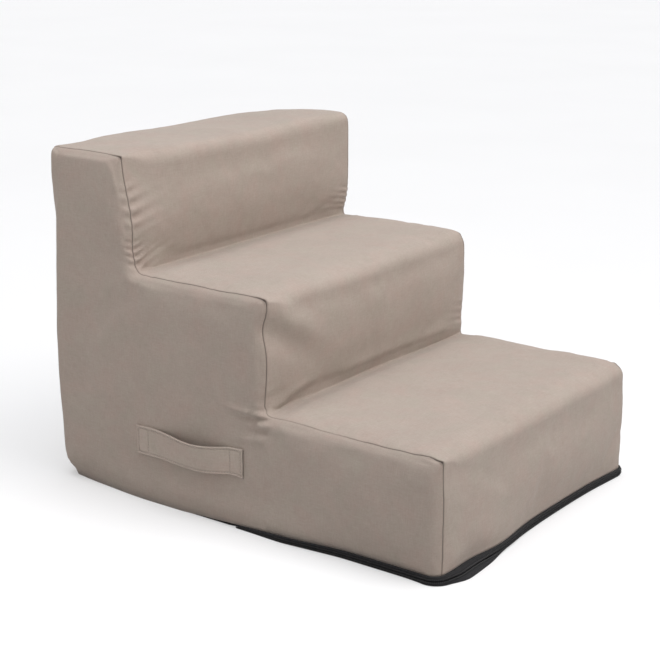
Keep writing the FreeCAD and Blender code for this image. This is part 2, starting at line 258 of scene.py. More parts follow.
def step_corners(shift, points):
    x, y, z = points.T
    (_, r2, r3), (t1, t2, t3) = RISER_Y, TREAD_Z

    # The top step's left front corner is pulled back and rounds off, and so is the middle one's
    # below its corner.
    corner = smooth((-x - 120) / 75) * smooth((r3 + 75 - y) / 70) * smooth((z - t2 - 2) / 30)
    shift[:, 1] += corner * (5.0 + 15.0 * smooth((z - t2 - 20) / 112) ** 1.5)
    corner = smooth((-x - 165) / 35) * smooth((r2 + 40 - y) / 36) * (z > t1 + 5) * (y < r3 - 5)
    shift[:, 1] += corner * 2.8 * near(z, t2 - 34, 26)

    # The top step's right front corner stands forward and high, and its rear edge falls away
    # at the right and lifts left of the middle.
    corner = smooth((x - 110) / 90) * smooth((r3 + 80 - y) / 80) * smooth((z - t2 + 8) / 48)
    shift[:, 1] -= corner * 6.5
    top = smooth((z - t3 + 40) / 36)
    shift[:, 2] += top * 4.2 * near(x, HALF, 110) * near(y, r3 + 10, 90)
    shift[:, 2] += top * (3.0 * near(x, -120, 70) - 5.5 * near(x, HALF, 70)) * near(y, BACK_Y, 60)


def riser_folds(shift, points, normals):
    x, y, z = points.T
    front = np.clip(-normals[:, 1], 0, 1) ** 2
    (r1, r2, r3), (t1, t2, _) = RISER_Y, TREAD_Z

    # Third riser: short puckers beside both seams, tightest near its foot.
    on = front * (np.abs(y - r3) < 16)
    out = seam_puckers(x, z, -SEAM_X, t2 + 42, t2 + 108, 12.0, 15, 3.4, 0.30, 0.4)
    out += seam_puckers(x, z, -SEAM_X, t2 - 10, t2 + 50, 10.0, 15, 4.2, 0.40, 2.2)
    out += seam_puckers(x, z, SEAM_X, t2 - 4, t2 + 46, 9.5, 15, 1.9, 0.2, 1.1)
    shift[:, 1] -= on * out

    # Second riser: a slack diagonal below its nose, and gathers at its lower left end.
    on = front * (np.abs(y - r2) < 18)
    out = fold(x, z, (-196, 262), (-70, 184), 15, 4.2, 0.9)
    out += fold(x, z, (-190, 141), (-95, 166), 7, 2.6, 0.7)
    out += fold(x, z, (-60, 150), (110, 158), 11, 2.0, 0.8)
    out += seam_puckers(x, z, -SEAM_X, t1 + 2, t1 + 50, 13.0, 11, 1.5, 0.45, 0.9)
    out += seam_puckers(x, z, SEAM_X, t1 + 6, t1 + 60, 11.0, 12, 1.0, 0.2, 2.0)
    out += 3.0 * near(z, t1 + 13, 12) * smooth((x - 20) / 120)
    shift[:, 1] -= on * out

    # First riser: its low edge flares out with the zip at both ends.
    on = front * (np.abs(y - r1) < 18)
    out = fold(x, z, (-186, 20), (-60, 74), 20, 1.8, 0.7)
    shift[:, 1] -= on * out
    low_front = smooth((r1 + 36 - y) / 34) * smooth((60 - z) / 50)
    shift[:, 1] -= low_front * (8.0 * near(x, -92, 52) + 2.5 * near(x, -190, 40))
    shift[:, 1] -= low_front * RIGHT_FLARE * near(x, HALF, 60)


def side_folds(shift, points, normals):
    _, y, z = points.T
    left, right = smooth(-points[:, 0] / 40), smooth(points[:, 0] / 40)
    (_, r2, r3), (t1, t2, _) = RISER_Y, TREAD_Z

    # Left side: folds that run back from the inner corner below the second riser.
    on = np.abs(normals[:, 0]) ** 0.7 * left
    out = sum(fold(y, z, (r2 + a, t1 + b), (r2 + c, t1 + d), *size) for a, b, c, d, *size in (
        (-9, 9, 14, 10, 2.6, 1.4, 0.0),
        (-10, 5, 20, 6, 2.4, -2.6, 0.0),
        (-10, 0.5, 60, 7, 2.9, 4.2, 0.0),
        (-8, -4, 44, -5, 3.2, -3.4, 0.0),
        (-12, -7, 26, -13, 3.6, 3.2, 0.0),
        (-10, -16.5, 30, -22, 3.4, -3.0, 0.0),
        (-6, -25, 50, -31, 5.5, 2.0, 0.3),
        (-8, -20, -18, -62, 8.0, 1.6, 0.6),
    ))
    out += fold(y, z, (r3 - 2, t2 - 6), (r3 + 60, t2 - 34), 11.0, 1.8, 0.7)
    shift[:, 0] -= on * out
    on = np.abs(normals[:, 0]) ** 0.7 * right
    out = fold(y, z, (r2, t1 + 2), (r2 + 62, t1 + 14), 5.5, 2.8, 0.9)
    out += fold(y, z, (r2 + 4, t1 - 8), (r2 + 55, t1 - 18), 5.5, 2.0, 0.8)
    out += fold(y, z, (r3, t2 + 1), (r3 + 58, t2 + 10), 6.0, 2.2, 0.8)
    shift[:, 0] += on * out


def left_low_edge(shift, points, side):
    """The left side's low edge stands out, and the rear left corner tucks in below."""
    x, y, z = points.T
    shift[:, 0] -= smooth(-x / 40) * side * left_flare(y - FRONT_Y) * smooth((46 - z) / 40)
    tuck = near(y, BACK_Y, 34) * near(z, 0, 24) * near(x, -HALF, 60)
    shift[:, 1] -= tuck * 9.0
    shift[:, 0] += tuck * 5.0


def cloth_shift(points, normals):
    """How far each point of the cover moves from the foam's plain rounded shape."""
    x, _, z = points.T
    side = np.abs(normals[:, 0]) ** 2
    low_fade = np.where((x > 0) & (side > 0.5), smooth((z - 8.5) / 24), smooth(z / 22))
    shift = np.zeros_like(points)
    crowns_and_bulges(shift, points, low_fade)
    rear_and_sides(shift, points, low_fade)
    slack_everywhere(shift, points, normals, low_fade)
    step_corners(shift, points)
    riser_folds(shift, points, normals)
    side_folds(shift, points, normals)
    left_low_edge(shift, points, side)
    return shift


# ---- Mesh helpers ---------------------------------------------------------------------------
def new_piece(name, points, faces, uv=None, painted_seam_shade=None, body="stairs"):
    """A mesh object from points in millimetres, smooth shaded, riding on a body."""
    mesh = bpy.data.meshes.new(name)
    mesh.from_pydata((np.asarray(points) * MM).tolist(), [], faces)
    mesh.validate()
    mesh.polygons.foreach_set("use_smooth", np.ones(len(mesh.polygons), bool))
    if uv is not None:
        corner = np.zeros(len(mesh.loops), np.int32)
        mesh.loops.foreach_get("vertex_index", corner)
        layer = mesh.uv_layers.new(name="cloth")
        layer.data.foreach_set("uv", (np.asarray(uv)[corner] * MM).ravel())
    # The painted shade of the seams goes along as a point attribute.
    if painted_seam_shade is not None:
        values = mesh.attributes.new("painted_seam_shade", "FLOAT", "POINT")
        values.data.foreach_set("value", np.asarray(painted_seam_shade, np.float32))
    piece = bpy.data.objects.new(name, mesh)
    bpy.context.scene.collection.objects.link(piece)
    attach(piece, body)
    return piece


def thicken(piece, thickness):
    """Gives a sheet its cloth's thickness, inwards."""
    solid = piece.modifiers.new("cloth", "SOLIDIFY")
    solid.thickness = thickness * MM
    solid.offset = -1
    solid.use_even_offset = False
    bpy.context.view_layer.objects.active = piece
    with bpy.context.temp_override(object=piece, active_object=piece):
        bpy.ops.object.modifier_apply(modifier=solid.name)


def grid_faces(rows, columns, offset=0, flip=False, closed=False):
    """Quads of a grid of rows x columns points; closed joins the last column to the first."""
    faces = []
    for r in range(rows - 1):
        for c in range(columns if closed else columns - 1):
            d = (c + 1) % columns
            quad = (r * columns + c, r * columns + d, (r + 1) * columns + d, (r + 1) * columns + c)
            quad = quad[::-1] if flip else quad
            faces.append(tuple(offset + i for i in quad))
    return faces


def triangulate(points, border):
    """Triangles inside the closed border that the first points make, and where each vertex is
    from."""
    ring = list(range(border))
    verts, _, tris, sources, _, _ = geometry.delaunay_2d_cdt(
        [Vector(p) for p in points], [], [ring], 1, 1e-6
    )
    return verts, tris, sources


def staggered(across, up, step):
    """A grid of points, with every second row moved half a step."""
    u, v = np.meshgrid(across, up)
    u = u + (np.arange(u.shape[0]) % 2)[:, None] * step / 2
    return np.column_stack([u.ravel(), v.ravel()])


# ---- Slack, by cloth simulation -------------------------------------------------------------
PROXY_VOXEL, SIM_FRAMES, SIM_PRESSURE = 9.0, 20, 4
PIN_RADIUS, PIN_HEIGHT = 13, 16        # round the inner corners, and above the floor
SLACK_CAP = (-1.6, 3.6)                # how far the simulated cloth may go in and out
SLACK_SHARE = 0.5                      # how much of the simulated slack the cover takes
UNIT_CORNERS = (Vector((1, 0, 0)), Vector((0, 1, 0)), Vector((0, 0, 1)))


def pinned(point):
    """The cover is held in its inner corners and along its hem."""
    (_, r2, r3), (t1, t2, _) = RISER_Y, TREAD_Z
    inner = min(math.hypot(point[1] - r2, point[2] - t1), math.hypot(point[1] - r3, point[2] - t2))
    return inner < PIN_RADIUS or point[2] < PIN_HEIGHT


def simulate_slack():
    """Blows the cover up a little as cloth cut slightly too large, and returns a search tree of
    the shape before, its triangles, and how far each of its points moved along its normal."""
    line, _, _ = outline(0.0, NOSE_SOFT, CREASE_SOFT, 0.0, 0.0)
    count = len(line)
    points = [(x, y, z) for x in (-HALF, HALF) for y, z in line]
    faces = grid_faces(2, count, closed=True)
    faces += [tuple(range(count))[::-1], tuple(range(count, 2 * count))]
    mesh = bpy.data.meshes.new("slack_proxy")
    mesh.from_pydata((np.array(points) * MM).tolist(), [], faces)
    proxy = bpy.data.objects.new("slack_proxy", mesh)
    scene = bpy.context.scene
    scene.collection.objects.link(proxy)
    remesh = proxy.modifiers.new("remesh", "REMESH")
    remesh.mode = "VOXEL"
    remesh.voxel_size = PROXY_VOXEL * MM
    with bpy.context.temp_override(object=proxy, active_object=proxy):
        bpy.ops.object.modifier_apply(modifier=remesh.name)
    mesh = proxy.data
    before = np.array([v.co for v in mesh.vertices]) / MM
    normals = np.array([v.normal for v in mesh.vertices])
    held = proxy.vertex_groups.new(name="held")
    held.add([i for i, p in enumerate(before) if pinned(p)], 1.0, "REPLACE")

    cloth = proxy.modifiers.new("cloth", "CLOTH")
    settings = cloth.settings
    settings.quality = 5
    settings.mass = 0.25
    settings.tension_stiffness = settings.compression_stiffness = 25
    settings.shear_stiffness = 8
    settings.bending_stiffness = 0.35
    settings.use_pressure = True
    settings.uniform_pressure_force = SIM_PRESSURE
    settings.shrink_min = -0.012
    settings.vertex_group_mass = "held"
    settings.effector_weights.gravity = 0
    cloth.collision_settings.use_collision = False
    cloth.point_cache.frame_start = 1
    cloth.point_cache.frame_end = SIM_FRAMES
    for step in range(1, SIM_FRAMES + 1):
        scene.frame_set(step)
    evaluated = proxy.evaluated_get(bpy.context.evaluated_depsgraph_get())
    after = np.array([v.co for v in evaluated.data.vertices]) / MM
    moved = ((after - before) * normals).sum(axis=1)
    mesh.calc_loop_triangles()
    triangles = [tuple(t.vertices) for t in mesh.loop_triangles]
    tree = BVHTree.FromPolygons(before.tolist(), triangles)
    bpy.data.objects.remove(proxy)
    scene.frame_set(1)
    return tree, triangles, before, moved


SLACK = simulate_slack()


def slack_at(points):
    """The simulated slack at these points, within its cap."""
    if SLACK is None:
        return np.zeros(len(points))
    tree, triangles, before, moved = SLACK
    result = np.zeros(len(points))
    for i, point in enumerate(points):
        place, _, face, _ = tree.find_nearest(Vector(point))
        a, b, c = triangles[face]
        corners = [Vector(before[k]) for k in (a, b, c)]
        share = geometry.barycentric_transform(place, *corners, *UNIT_CORNERS)
        result[i] = share[0] * moved[a] + share[1] * moved[b] + share[2] * moved[c]
    low, high = SLACK_CAP
    middle, half = (low + high) / 2, (high - low) / 2
    return middle + half * np.tanh((result * SLACK_SHARE - middle) / half)


# ---- Cover: centre strip --------------------------------------------------------------------
# Each panel's edge rolls down into the seam: (how far short of the seam, how deep).
SEAM_ROLL = ((0.8, 0.0), (0.45, 0.08), (0.18, 0.32), (0.05, 0.85), (0.03, 2.2))


def side_inset(x):
    """How far the rounding to the sides has sunk at this |x|."""
    beyond = np.clip(abs(x) - (HALF - SIDE_RADIUS), 0, SIDE_RADIUS)
    return SIDE_RADIUS - math.sqrt(SIDE_RADIUS**2 - beyond**2)


def strip_columns():
    """(x, depth below the cloth's face) of each line of points across the strip."""
    flat = [SEAM_X - gap for gap in (2.0, 3.5, 5.5, 8.0, 11.0, 14.5, 18.5, 23.0, 28.0, 33.5)]
    middle = np.linspace(0, flat[-1], 29)[:-1]
    right = [(x, 0.0) for x in (*middle, *flat[::-1])]
    right += [(SEAM_X - short, deep) for short, deep in SEAM_ROLL]
    return [(-x, deep) for x, deep in right[:0:-1]] + right


def at_notch(line):
    """1 where the seam turns over the front of a tread, fading along the tread."""
    y, z = line.T
    result = np.zeros(len(line))
    for corner_y, level in zip(RISER_Y, TREAD_Z):
        far = np.hypot((y - corner_y - 3) / np.where(y > corner_y + 3, 13.0, 5.0), (z - level) / 5.0)
        result = np.maximum(result, np.exp(-(far**2)))
    return result


# The first three set the painted shade in the seams: how dark it is, and how far it reaches from a
# plain seam and from a notch. The rest set how the lips roll, and how far they open and sink at a
# notch.
SEAM_SHADE_DARK, SEAM_SHADE_WIDTH, NOTCH_SHADE_WIDTH, LIP_WIDTH = 0.62, 1.1, 2.6, 1.2
NOTCH_OPEN, NOTCH_DEEP = 0.55, 1.1


def seam_row(x, line, out, short, away):
    """The outline's points at this x, so far short of the seam, and how dark the painted shade of
    the seam is at each. The seam's lips are deeper and wider at its notches, and its painted
    shade is faint on the rear half of the lowest tread."""
    notch = at_notch(line)
    lip = float(smooth(1 - short / LIP_WIDTH))
    point = np.column_stack([np.full(len(line), x), line])
    point[:, 0] += away * notch * NOTCH_OPEN * lip
    point[:, 1:] -= out * (notch * NOTCH_DEEP * lip)[:, None]
    y, z = line.T
    # Painted shade in the seam, lighter on the rear half of the lowest tread, darkest at the
    # notches.
    faint = 0.7 * near(z, TREAD_Z[0], 8) * smooth((y - FRONT_Y - 75) / 60)
    plain = float(smooth(1 - short / SEAM_SHADE_WIDTH)) * SEAM_SHADE_DARK * (1 - faint)
    return point, np.maximum(plain, notch * float(smooth(1 - short / NOTCH_SHADE_WIDTH)))


def center_strip():
    columns = strip_columns()
    points, normals, uvs, painted_seam_shades = [], [], [], []
    for x, deep in columns:
        to_seam = SEAM_X - abs(x)
        soft = float(smooth((to_seam - 1) / 38))
        sign = 1 if x > 0 else -1
        nose, crease = NOSE_AT_SEAM[sign], CREASE_AT_SEAM[sign]
        convex = nose + (NOSE_SOFT - nose) * soft
        concave = crease + (CREASE_SOFT - crease) * float(smooth(to_seam / 24))
        line, out, run = outline(side_inset(x) + deep, convex, concave)
        tilt = np.clip((abs(x) - (HALF - SIDE_RADIUS)) / SIDE_RADIUS, 0, 1) * np.sign(x)
        point, painted_seam_shade = seam_row(x, line, out, to_seam, -np.sign(x))
        points.append(point)
        normals.append(np.column_stack([np.full(len(out), tilt), out * math.sqrt(1 - tilt**2)]))
        uvs.append(np.column_stack([np.full(len(run), x), run]))
        painted_seam_shades.append(painted_seam_shade)
    rows, count = len(columns), len(points[0])
    points, normals = np.concatenate(points), np.concatenate(normals)
    points = points + cloth_shift(points, normals)
    faces = grid_faces(rows, count)
    piece = new_piece("cover_strip", points, faces, np.concatenate(uvs), np.concatenate(painted_seam_shades))
    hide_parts("cover_center_strip")
    return piece


# ---- Cover: side panels ---------------------------------------------------------------------
COARSE_GRID, FINE_GRID = 7.0, 2.0      # steps on the flat of a side, and where its folds are


def side_rings(sign):
    """Rings of points from the bottom of the seam out to the edge of the flat of the side."""
    seam_angle = math.asin((SEAM_X - (HALF - SIDE_RADIUS)) / SIDE_RADIUS)
    rings = []
    for short, deep in SEAM_ROLL[::-1]:
        x = SEAM_X + short
        rings.append((x, side_inset(x) + deep, seam_angle, short))
    for angle in np.linspace(seam_angle + 0.12, math.pi / 2, 11):
        x = HALF - SIDE_RADIUS + SIDE_RADIUS * math.sin(angle)
        inset = SIDE_RADIUS * (1 - math.cos(angle))
        rings.append((x, inset, angle, x - SEAM_X))
    result = []
    for x, inset, angle, from_seam in rings:
        share = (angle - seam_angle) / (math.pi / 2 - seam_angle)
        convex = NOSE_AT_SEAM[sign] + (NOSE_ON_SIDE - NOSE_AT_SEAM[sign]) * share
        line, out, _ = outline(inset, convex, CREASE_AT_SEAM[sign] + inset)
        tilt = np.full(len(out), sign * math.sin(angle))
        normal = np.column_stack([tilt, out * math.cos(angle)])
        point, painted_seam_shade = seam_row(sign * x, line, out, from_seam, sign)
        flat = line + out * (SIDE_RADIUS * (math.pi / 2 - angle))
        result.append((point, normal, flat, painted_seam_shade))
    return result


def hem_line(sign):
    """Points of a side's lower edge, from its front end to its rear end."""
    y = np.arange(FRONT_Y + SIDE_RADIUS + 6, BACK_Y - SIDE_RADIUS - 3, 6.0)
    return np.column_stack([y, hem_height(y - FRONT_Y, sign)])


def side_panel(sign):
    name = "left" if sign < 0 else "right"
    rings = side_rings(sign)
    count = len(rings[0][0])
    points, normals, uvs, painted_seam_shades = (np.concatenate(part) for part in zip(*rings))
    faces = grid_faces(len(rings), count, flip=sign < 0)

    first = (len(rings) - 1) * count
    edge = points[first:, 1:]
    hem = hem_line(sign)
    border = np.concatenate([edge, hem])
    inner = []
    for step, in_folds in ((COARSE_GRID, False), (FINE_GRID, True)):
        grid = staggered(np.arange(FRONT_Y, BACK_Y, step), np.arange(3.0, TREAD_Z[2], step), step)
        y, z = grid.T
        folds = near(y, RISER_Y[1] + 20, 42) * near(z, TREAD_Z[0] - 6, 30) > 0.3
        lowest = hem_height(y - FRONT_Y, sign)
        clear = SIDE_RADIUS + 0.45 * step + 1
        good = (folds == in_folds) & (inside_depth(y, z) > clear) & (z > lowest + 0.5 * step)
        inner.append(grid[good & ~corner_cut(y, z, clear)])
    verts, tris, sources = triangulate(np.concatenate([border, *inner]), len(border))
    index = []
    extra = []
    for vert, source in zip(verts, sources):
        on_ring = [s for s in source if s < len(edge)]
        if on_ring:
            index.append(first + on_ring[0])
        else:
            index.append(len(points) + len(extra))
            extra.append(vert)
    extra = np.array(extra)
    flat_normal = (sign, 0.0, 0.0)
    points = np.concatenate([points, np.column_stack([np.full(len(extra), sign * HALF), extra])])
    normals = np.concatenate([normals, np.tile(flat_normal, (len(extra), 1))])
    uvs = np.concatenate([uvs, extra])
    painted_seam_shades = np.concatenate([painted_seam_shades, np.zeros(len(extra))])
    for tri in tris:
        corner = [index[i] for i in tri]
        (y0, z0), (y1, z1), (y2, z2) = (points[i][1:] for i in corner)
        turn = (y1 - y0) * (z2 - z0) - (z1 - z0) * (y2 - y0)
        faces.append(tuple(corner if turn * sign > 0 else corner[::-1]))
    points = points + cloth_shift(points, normals)
    piece = new_piece(f"cover_{name}_side", points, faces, uvs, painted_seam_shades)
    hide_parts(f"cover_{name}_panel")
    return piece


def corner_cut(y, z, inset):
    """True where a point lies in the rounded-off part of a convex corner of the flat."""
    cut = np.zeros(len(y), bool)
    radius = NOSE_ON_SIDE
    for corner_y, level, inward in (
        *((r, t, 1) for r, t in zip(RISER_Y, TREAD_Z)),
        (BACK_Y, TREAD_Z[2], -1),
    ):
        centre_y = corner_y + inward * (SIDE_RADIUS + radius)
        centre_z = level - SIDE_RADIUS - radius
        beyond = ((y - centre_y) * -inward > 0) & (z > centre_z)
        far = np.hypot(y - centre_y, z - centre_z) > radius - (inset - SIDE_RADIUS)
        near_it = (np.abs(y - centre_y) < 40) & (np.abs(z - centre_z) < 40)
        cut |= beyond & far & near_it
    return cut


strip = center_strip()
left_side = side_panel(-1)
right_side = side_panel(1)
for panel in (strip, left_side, right_side):
    thicken(panel, CLOTH)


# ---- Strap handle on the left side ----------------------------------------------------------
HANDLE_LENGTH, HANDLE_WIDTH, HANDLE_THICKNESS = 157.0, 35.0, 2.6
HANDLE_Y, HANDLE_Z, HANDLE_SLOPE = 68.8, 77.5, math.radians(1.8)
HANDLE_SEWN, HANDLE_BOW_TOP, HANDLE_BOW_BOTTOM, HANDLE_SAG = 18.5, 11.5, 5.5, 2.3
HANDLE_BOW_FORWARD, HANDLE_BOW_ROUND = 1.45, 1.15
HANDLE_NARROWS, HANDLE_DROOP, HANDLE_REST = 0.07, 1.8, 0.15
HEM_MIDDLE, HEM_SPREAD, HEM_RISE = 1.3, 1.1, 0.5
STITCH_INSET, BOX_LENGTH = 3.0, 14.5
STITCH_SPREAD, STITCH_SINK, BOX_SINK = 0.55, 0.6, 0.15
STITCH_LENGTH, STITCH_PITCH, THREAD = 2.7, 3.5, 0.6


def handle_point(along, across, proud):
    """A point of the strap: along it to the rear, across it upwards, and proud of its middle
    surface. Arrays in, (n, 3) out."""
    values = [np.asarray(v, float) for v in (along, across, proud)]
    along, across, proud = np.broadcast_arrays(*values)
    free = HANDLE_LENGTH / 2 - HANDLE_SEWN
    from_rear = np.clip((free - along) / (2 * free), 0, 1)
    bow = np.sin(np.pi * from_rear**HANDLE_BOW_FORWARD) ** HANDLE_BOW_ROUND
    share = across / HANDLE_WIDTH + 0.5
    out = (HANDLE_BOW_BOTTOM + (HANDLE_BOW_TOP - HANDLE_BOW_BOTTOM) * share) * bow
    lean = np.arctan2((HANDLE_BOW_TOP - HANDLE_BOW_BOTTOM) * bow, HANDLE_WIDTH)
    c, s = math.cos(HANDLE_SLOPE), math.sin(HANDLE_SLOPE)
    # The front end is pulled a little narrower, its lower corner hangs loose, and the middle sags.
    across = across * (1 - HANDLE_NARROWS * smooth((-along - 15) / 55))
    droop = HANDLE_DROOP * smooth((-along - 66) / 12) * smooth((-across - 4) / 14)
    up = across * np.cos(lean) - HANDLE_SAG * bow - droop - 0.8 * near(along, -20, 30) * share
    y = HANDLE_Y + along * c + up * s
    z = HANDLE_Z - along * s + up * c
    face = np.column_stack([np.full(y.size, -HALF), y.ravel(), z.ravel()])
    swell = cloth_shift(face, np.tile((-1.0, 0.0, 0.0), (y.size, 1)))[:, 0]
    rest = HANDLE_THICKNESS / 2 + HANDLE_REST
    x = -HALF + swell - (rest + out + proud * np.cos(lean)).ravel()
    return np.column_stack([x, y.ravel(), z.ravel() + (proud * np.sin(lean)).ravel()])


def strap_thickness(along, across):
    """Half the strap's thickness there: raised hems outside the lines of stitching."""
    end = HANDLE_LENGTH / 2 - np.abs(along)
    edge = HANDLE_WIDTH / 2 - np.abs(across)
    half = np.full(np.broadcast(along, across).shape, HANDLE_THICKNESS / 2 - 0.15)
    hems = [near(where, HEM_MIDDLE, HEM_SPREAD) for where in (edge, end)]
    half = half + HEM_RISE * np.maximum(*hems)
    in_box = smooth((BOX_LENGTH + 4 - end) / 3)
    places = ((edge, STITCH_INSET), (end, STITCH_INSET), (end, STITCH_INSET + BOX_LENGTH))
    lines = [near(where, line, STITCH_SPREAD) for where, line in places]
    lines = np.maximum.reduce(np.broadcast_arrays(*lines))
    return half - STITCH_SINK * lines - BOX_SINK * in_box


def strap_mesh():
    """The strap as a closed band: its outer face, a rounded edge, its inner face and back."""
    half_length, half_width, round_off = HANDLE_LENGTH / 2, HANDLE_WIDTH / 2, 1.1
    fine = (0.5, 1.3, 2.0, 2.5, 3.0, 3.5, 4.0, 5.0)
    coarse = (7.0, 10.0, 13.0, 15.5, 16.5, 17.0, 17.5, 18.0, 18.5, 19.5, 21.5, 24.0)
    ends = [half_length - d for d in (0.0, 0.25, 0.7, *fine, *coarse)]
    middle = np.linspace(-ends[-1], ends[-1], 58)[1:-1]
    along = np.array(sorted([-v for v in ends] + ends + list(middle)))
    edges = [half_width - d for d in (round_off, 1.6, 2.1, 2.6, 3.0, 3.4, 4.0, 5.2)]
    inner = np.linspace(-edges[-1], edges[-1], 12)[1:-1]
    across = np.array(sorted([-v for v in edges] + edges + list(inner)))
    section = []
    for sign, row in ((1, across), (-1, across[::-1])):
        section += [(v, sign, 0.0) for v in row]
        for angle in np.linspace(0, math.pi, 7)[1:-1]:
            turn = (half_width - round_off, math.cos(angle), math.sin(angle) * round_off)
            section.append([sign * v for v in turn])
    section = np.array(section, float)
    rows, uv = [], []
    for a in along:
        close = half_length - abs(a)
        shrink = math.sqrt(max(0.0, 1 - (1 - min(1.0, (close + 0.08) / 0.9)) ** 2))
        half = strap_thickness(a, section[:, 0]) * shrink
        rows.append(handle_point(a, section[:, 0] + section[:, 2], section[:, 1] * half))
        uv.append(np.column_stack([np.full(len(section), a), section[:, 0] + section[:, 2] * 1.6]))
    points = np.concatenate(rows)
    count = len(section)
    faces = grid_faces(len(along), count, closed=True)
    faces.append(tuple(range(count)))
    faces.append(tuple(range(len(points) - 1, len(points) - count - 1, -1)))
    return points, faces, np.concatenate(uv)


def capsules(starts, ends, radius, sides=6):
    """Rounded little rods from starts to ends, as points and faces."""
    points, faces = [], []
    rings = ((0.0, 0.35), (0.10, 0.85), (0.3, 1.0), (0.7, 1.0), (0.9, 0.85), (1.0, 0.35))
    for start, end in zip(starts, ends):
        axis = end - start
        length = np.linalg.norm(axis)
        axis = axis / length
        helper = np.array((0.0, 0.0, 1.0)) if abs(axis[2]) < 0.9 else np.array((1.0, 0.0, 0.0))
        u = np.cross(axis, helper)
        u /= np.linalg.norm(u)
        w = np.cross(axis, u)
        first = len(points)
        for share, size in rings:
            for k in range(sides):
                a = 2 * math.pi * k / sides
                offset = math.cos(a) * u + math.sin(a) * w
                points.append(start + axis * length * share + offset * radius * size)
        faces += grid_faces(len(rings), sides, offset=first, closed=True)
        faces.append(tuple(first + k for k in range(sides)))
        top = first + (len(rings) - 1) * sides
        faces.append(tuple(top + k for k in reversed(range(sides))))
    return np.array(points), faces


def stitch_lines():
    """The strap's stitches as (along, across) starts and ends."""
    half_length, half_width = HANDLE_LENGTH / 2 - STITCH_INSET, HANDLE_WIDTH / 2 - STITCH_INSET
    lines = [((-half_length, v), (half_length, v)) for v in (-half_width, half_width)]
    for along in (half_length, half_length - BOX_LENGTH):
        lines += [((s * along, -half_width), (s * along, half_width)) for s in (-1, 1)]
    starts, ends = [], []
    for start, end in lines:
        start, end = np.array(start), np.array(end)
        length = np.linalg.norm(end - start)
        count = round(length / STITCH_PITCH)
        step = (end - start) / count
        for k in range(count):
            starts.append(start + step * (k + 0.12))
            ends.append(start + step * (k + 0.12 + STITCH_LENGTH / STITCH_PITCH))
    return np.array(starts), np.array(ends)


points, faces, uv = strap_mesh()
strap = new_piece("handle_loop", points, faces, uv)
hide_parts("handle_strap")

starts, ends = stitch_lines()
proud = HANDLE_THICKNESS / 2 - 0.45 + THREAD * 0.2
points, faces = capsules(
    handle_point(*starts.T, proud), handle_point(*ends.T, proud), THREAD / 2
)
stitches = new_piece("handle_stitches", points, faces)
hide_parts("handle_stitching")


# ---- Zip round the bottom -------------------------------------------------------------------
ZIP_STAND_OFF, TAPE, TAPE_FOOT = 2.1, 0.6, 0.2
LEFT_ZIP_END, RIGHT_ZIP_END, LEFT_CHAIN_END = 262.0, 318.0, 205.0
CHAIN_END_Y = 50.5
FLARE, FLARE_X, FLARE_SPREAD, FLARE_TO_ANGLE = 16.0, -168.0, (34.0, 105.0), math.radians(300)
DRAWN_IN, DRAWN_IN_LENGTH = 0.75, 50
COIL_LOW, COIL_HIGH, COIL_DEEP, COIL_PLAY = 0.5, 2.5, 1.6, 0.12
TOOTH_PITCH, TOOTH_SHARE = 1.35, 0.44
BAND_INSET, FLOOR_GAP = 3.6, 0.05


def zip_route(left_end, right_end, step):
    """Points on the cover's face along the zip, from its left end round the front to its right
    end: (point, outward angle, run from the left end)."""
    r = SIDE_RADIUS
    arc = math.pi / 2 * r
    # Along the left side, round the corner, along the front, round the corner, along the right.
    legs = (left_end - r, arc, 2 * (HALF - r), arc, right_end - r)
    begins = [math.pi * share for share in (1, 1, 1.5, 1.5, 2)]
    total = sum(legs)
    runs = np.linspace(0, total, int(total / step) + 1)
    points, angles = [], []
    for run in runs:
        leg = 0
        while leg < len(legs) - 1 and run > legs[leg]:
            run -= legs[leg]
            leg += 1
        straight = {
            0: (-HALF, FRONT_Y + left_end - run),
            2: (-HALF + r + run, FRONT_Y),
            4: (HALF, FRONT_Y + r + run),
        }
        angle = begins[leg]
        if leg in straight:
            points.append(straight[leg])
        else:
            angle += run / r
            centre_x = (HALF - r) * (leg - 2)
            points.append((centre_x + r * math.cos(angle), FRONT_Y + r + r * math.sin(angle)))
        angles.append(angle)
    return np.array(points), np.array(angles), runs


